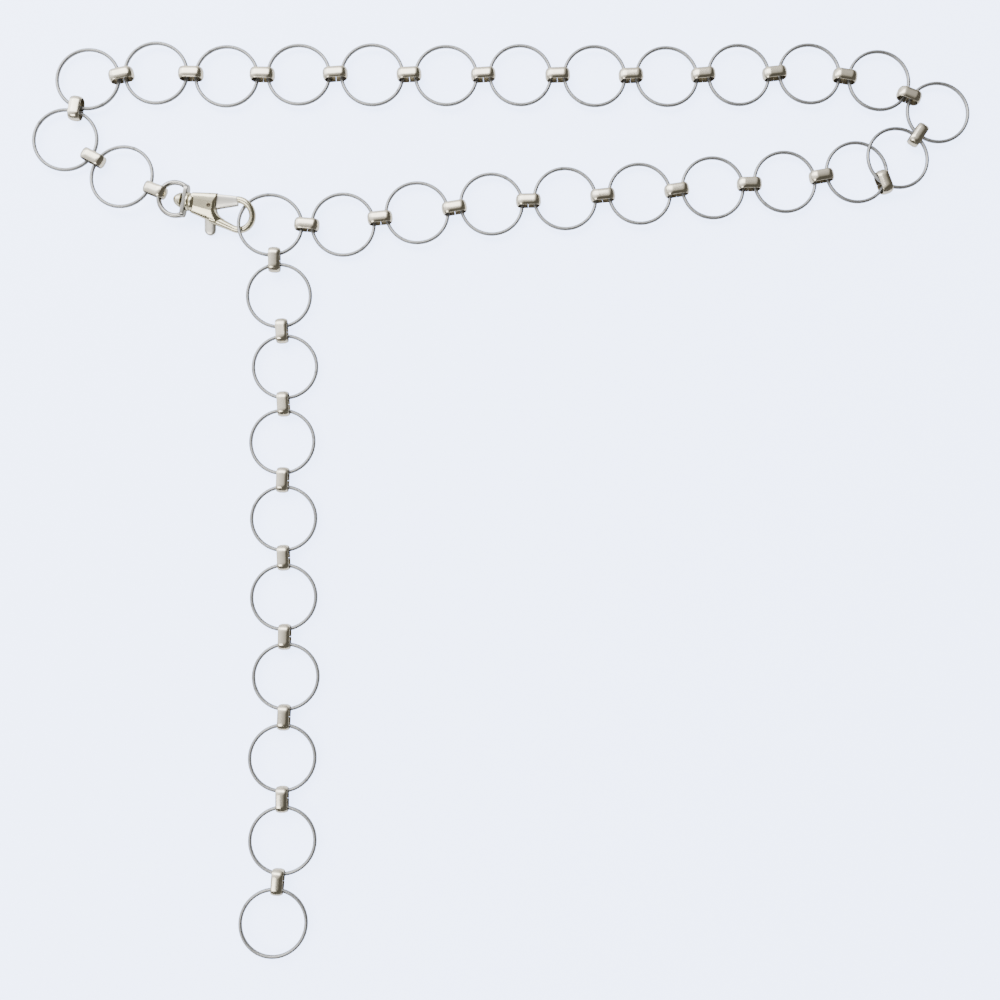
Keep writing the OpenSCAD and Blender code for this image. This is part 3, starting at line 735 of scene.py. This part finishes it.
# Table: a flat grid just under the chain
def makeTable():
    s = tableSettings
    grid = np.linspace(-s["size"] / 2, s["size"] / 2, s["rows"])
    x, y = np.meshgrid(grid, grid)
    verts = np.stack([x, y, 0 * x - s["drop"]], -1).reshape(-1, 3)
    n = len(grid)
    i, j = np.meshgrid(np.arange(n - 1), np.arange(n - 1))
    a = (j * n + i).ravel()
    mesh = bpy.data.meshes.new("paleTable")
    mesh.from_pydata(verts.tolist(), [], np.stack([a, a + 1, a + n + 1, a + n], -1).tolist())
    table = bpy.data.objects.new("paleTable", mesh)
    bpy.context.scene.collection.objects.link(table)
    material = bpy.data.materials.new("paleTable")
    material.use_nodes = True
    tree = material.node_tree
    shader = tree.nodes["Principled BSDF"]
    coords = newNode(tree, "TexCoord")
    clouds = newNode(tree, "TexNoise")
    feed(tree, clouds, Vector=coords.outputs["Object"], Scale=s["clouds"], Detail=2.0)
    cloudy = [c * s["cloudTone"] for c in s["color"]]
    mix = newNode(tree, "Mix", data_type="RGBA")
    feed(tree, mix, _0=clouds.outputs["Fac"], _6=(*s["color"], 1), _7=(*cloudy, 1))
    # Pale to look at, but dimmer in the metal's reflections, or polished metal would be lost on it
    paths = newNode(tree, "LightPath")
    glow = newNode(tree, "Mix", data_type="RGBA")
    feed(tree, glow, _0=paths.outputs["Is Camera Ray"], _6=(*s["glow"], 1), _7=(*s["shown"], 1))
    feed(tree, shader, Base_Color=mix.outputs[2], Emission_Color=glow.outputs[2])
    feed(tree, shader, Roughness=s["roughness"], Specular_IOR_Level=s["specular"], Emission_Strength=1.0)
    mesh.materials.append(material)


skySettings = {
    "toLight": (-0.62, 0.60, 0.50),
    "ramp": [(0.30, (0.16, 0.155, 0.14)), (0.63, (0.10, 0.095, 0.075)), (0.80, (1.2, 1.18, 1.12)),
             (0.95, (2.2, 2.2, 2.17))]}


# Sky: a dot product of each direction with the way to the light, ramped from a dim side to a bright side
def makeSky():
    s = skySettings
    world = bpy.data.worlds.new("studio")
    bpy.context.scene.world = world
    world.use_nodes = True
    tree = world.node_tree
    coords = newNode(tree, "TexCoord")
    facing = newNode(tree, "VectorMath", operation="DOT_PRODUCT")
    feed(tree, facing, _0=coords.outputs["Generated"], _1=s["toLight"])
    ramp = newNode(tree, "ValToRGB")
    stops = ramp.color_ramp.elements
    for stop, (place, color) in zip(stops, [s["ramp"][0], s["ramp"][-1]]):
        stop.position, stop.color = place, (*color, 1)
    for place, color in s["ramp"][1:-1]:
        stops.new(place).color = (*color, 1)
    feed(tree, ramp, Fac=calc(tree, "ADD", calc(tree, "MULTIPLY", facing.outputs["Value"], 0.5), 0.5))
    # Looked at directly it is as pale as the table, so a low view has no dark backdrop
    paths = newNode(tree, "LightPath")
    seen = newNode(tree, "Mix", data_type="RGBA")
    feed(tree, seen, _0=paths.outputs["Is Camera Ray"], _6=ramp.outputs[0], _7=(*tableSettings["shown"], 1))
    background = tree.nodes["Background"]
    feed(tree, background, Color=seen.outputs[2], Strength=1.0)


lampSettings = {
    "overhead": {"place": (-0.25, 0.62, 0.85), "target": (0, 0, 0), "size": (0.9, 0.6), "power": 9.0,
                 "color": (1.0, 0.99, 0.96)},
    "windowSide": {"place": (-0.9, 0.6, 0.5), "target": (0, 0, 0), "size": (0.9, 0.5), "power": 5.0,
                   "color": (0.96, 0.98, 1.0)},
    "nearSide": {"place": (-0.565, -0.47, 0.69), "target": (-0.115, 0.1, 0), "size": (0.55, 0.36),
                 "power": 4.0, "color": (1.0, 0.98, 0.92)}}


# Rectangular lamp at a place, square to the way to its target, which never runs straight along y
def softbox(name, place, target, size, power, color):
    data = bpy.data.lights.new(name, "AREA")
    data.shape, data.size, data.size_y, data.energy, data.color = "RECTANGLE", size[0], size[1], power, color
    lamp = bpy.data.objects.new(name, data)
    bpy.context.scene.collection.objects.link(lamp)
    back = unit(np.array(place) - np.array(target))
    right = unit(np.cross((0, 1, 0), back))
    up = np.cross(back, right)
    turn = np.stack([right, up, back], -1)
    lamp.matrix_world = Matrix.Translation(place) @ Matrix(turn.tolist()).to_4x4()


makeTable()
makeSky()
for name, lamp in lampSettings.items():
    softbox(name, **lamp)

# Camera square over the chain, tipped a little back and rolled a little, as the photo was taken
cameraSettings = {"height": 0.377, "tip": 4.5, "roll": -1.5, "shiftX": -0.0027, "shiftY": -0.0070, "lens": 36,
                  "sensor": 36, "near": 0.01, "far": 10}
c = cameraSettings
camera = bpy.data.objects.new("camera", bpy.data.cameras.new("camera"))
bpy.context.scene.collection.objects.link(camera)
camera.data.sensor_width, camera.data.lens = c["sensor"], c["lens"]
camera.data.clip_start, camera.data.clip_end = c["near"], c["far"]
roll = Matrix.Rotation(math.radians(c["roll"]), 4, "Y")
tip = Matrix.Rotation(math.radians(c["tip"]), 4, "X")
shift = Matrix.Translation((c["shiftX"], c["shiftY"], 0))
camera.matrix_world = shift @ (roll @ tip) @ Matrix.Translation((0, 0, c["height"]))
bpy.context.scene.camera = camera
print("table, light and camera made")
